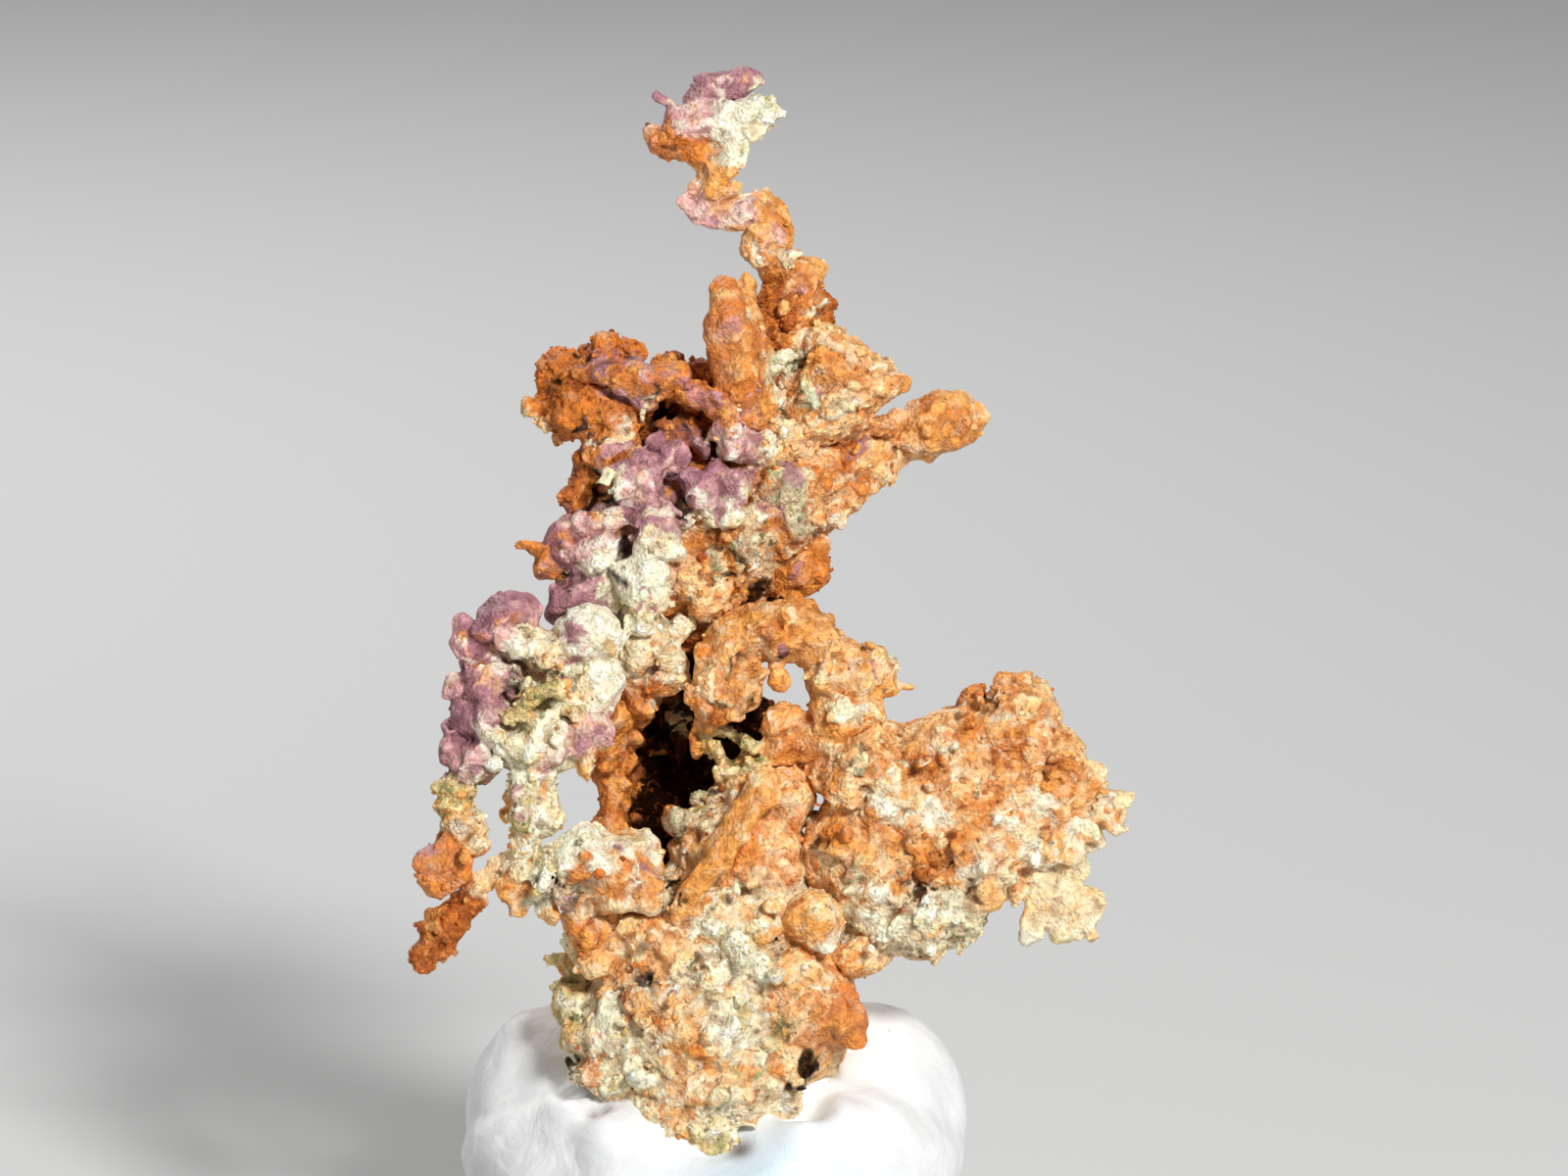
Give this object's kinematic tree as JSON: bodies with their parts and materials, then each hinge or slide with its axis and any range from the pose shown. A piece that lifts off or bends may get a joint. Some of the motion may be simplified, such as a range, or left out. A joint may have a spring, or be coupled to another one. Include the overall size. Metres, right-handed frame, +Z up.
{
  "type": "native copper nugget",
  "caption": "Branching native copper nugget crusted with orange, mauve and mint minerals, standing upright in a lump of white mounting putty.",
  "frame": {"origin": "centre of the putty's flat underside, where the specimen stands", "axes": "+Z up, -Y the side that the picture shows, +X to the viewer's right"},
  "size_m": [0.0366, 0.0242, 0.0627],
  "materials": {
    "foot": "rough crust, peach, cream and mint",
    "fan": "rough crust, orange and peach",
    "shelf": "rough crust, mint and cream",
    "mauve_column": "rough crust, mauve and cream",
    "middle_stem": "rough crust, orange",
    "arch": "rough crust, golden orange",
    "trunk": "rough crust, mauve, mint and rust",
    "left_arm": "rough crust, deep orange and mauve",
    "right_arm": "rough crust, ochre orange",
    "crown": "rough crust, orange and cream",
    "spire": "rough crust, orange, mauve and mint",
    "putty": "soft matte, kneaded"
  },
  "bodies": {
    "root": {"foot": "foot", "fan": "fan", "shelf": "shelf", "mauve_column": "mauve_column", "middle_stem": "middle_stem", "arch": "arch", "trunk": "trunk", "left_arm": "left_arm", "right_arm": "right_arm", "crown": "crown", "spire": "spire", "putty_stand": "putty"}
  },
  "joints": []
}
